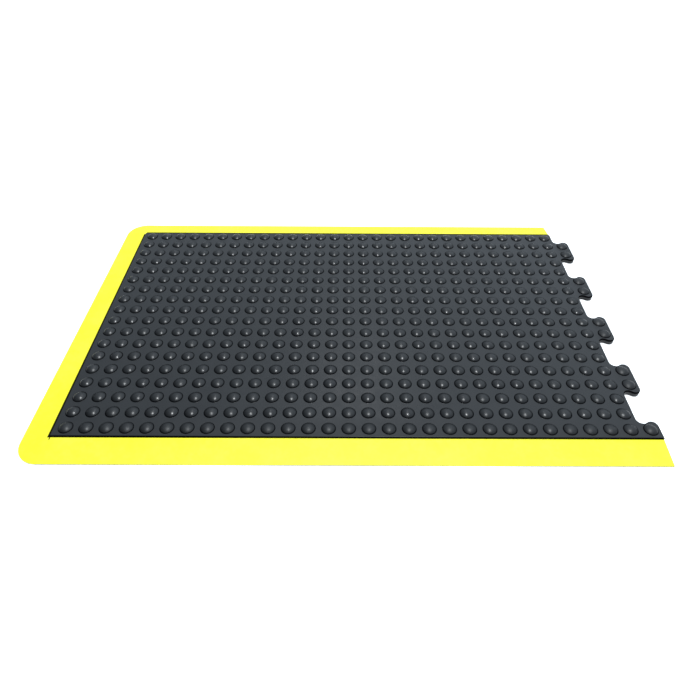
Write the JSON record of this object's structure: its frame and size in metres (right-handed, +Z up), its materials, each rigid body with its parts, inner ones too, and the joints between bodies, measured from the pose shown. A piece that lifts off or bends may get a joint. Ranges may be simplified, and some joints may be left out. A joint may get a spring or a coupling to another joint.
{
  "type": "anti fatigue mat end section",
  "caption": "Black rubber bubble mat with yellow ramps on three sides and a row of dovetail tabs on the fourth, the end section of an interlocking run.",
  "frame": {"origin": "middle of the bounding box, on the floor", "axes": "+X along the length from the ramp end to the tab end, +Y the depth away from the side whose ramp is longer, +Z up"},
  "size_m": [0.9, 0.595, 0.0145],
  "materials": {
    "black_rubber": "moulded nitrile rubber, satin black",
    "yellow_rubber": "moulded nitrile rubber, satin safety yellow"
  },
  "bodies": {
    "root": {"core_mat": "black_rubber", "left_edging": "yellow_rubber", "front_edging": "yellow_rubber", "rear_edging": "yellow_rubber"}
  },
  "joints": []
}
